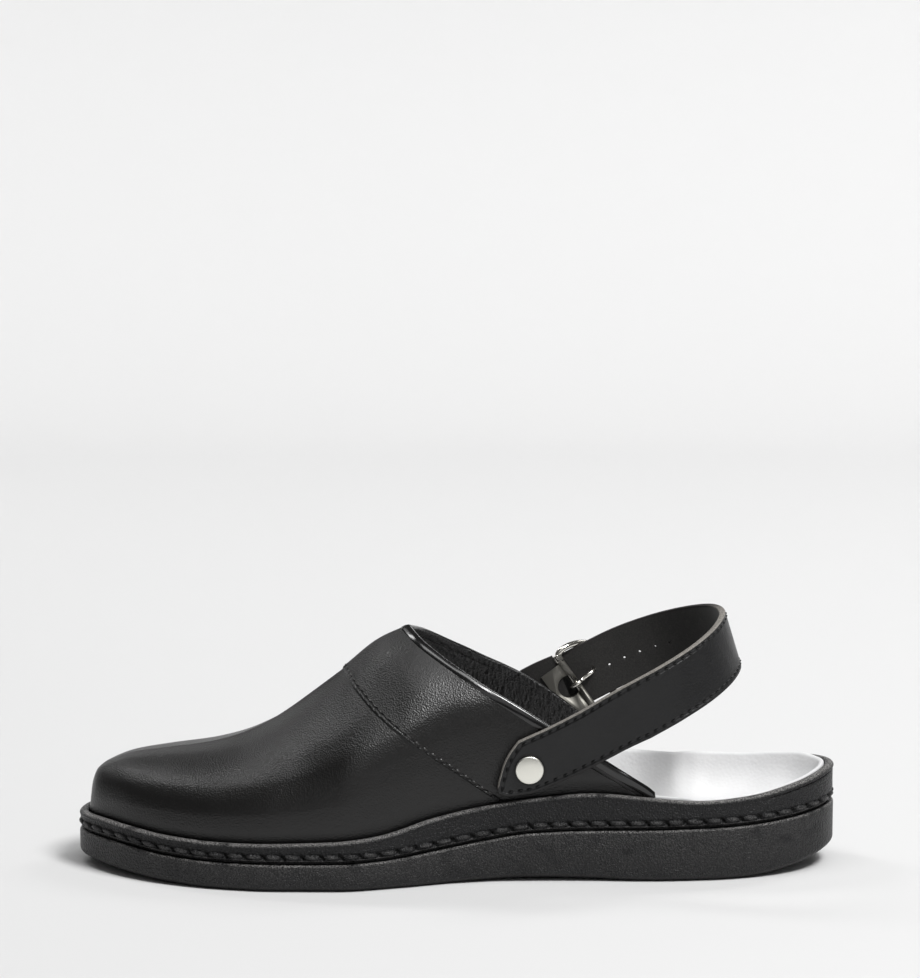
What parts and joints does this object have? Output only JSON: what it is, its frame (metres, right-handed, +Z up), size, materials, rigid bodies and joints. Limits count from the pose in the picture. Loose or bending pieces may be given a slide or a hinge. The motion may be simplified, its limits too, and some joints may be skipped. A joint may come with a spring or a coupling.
{
  "type": "chef clog",
  "caption": "Closed-toe leather chef clog for a left foot, with a stitched moulded sole, a white footbed and a riveted heel strap with a buckle.",
  "frame": {"origin": "centre of the flat heel tread, on the floor", "axes": "+Z up; +X towards the heel, along the shoe's length; -Y the outer side of the foot"},
  "size_m": [0.285, 0.1018, 0.0954],
  "materials": {
    "sole": "matt, fine pebble grain",
    "footbed": "soft matt white leather",
    "upper_leather": "satin, fine grain",
    "piping": "gloss",
    "strap_leather": "satin",
    "nickel": "polished nickel"
  },
  "bodies": {
    "root": {"outsole": "sole", "midsole": "sole", "insole": "footbed", "upper": "upper_leather", "collar_piping": "piping", "heel_strap": "strap_leather", "buckle_strap": "strap_leather", "rivet_outer": "nickel", "rivet_inner": "nickel", "buckle_frame": "nickel", "buckle_plate": "nickel", "buckle_prong": "nickel"}
  },
  "joints": []
}
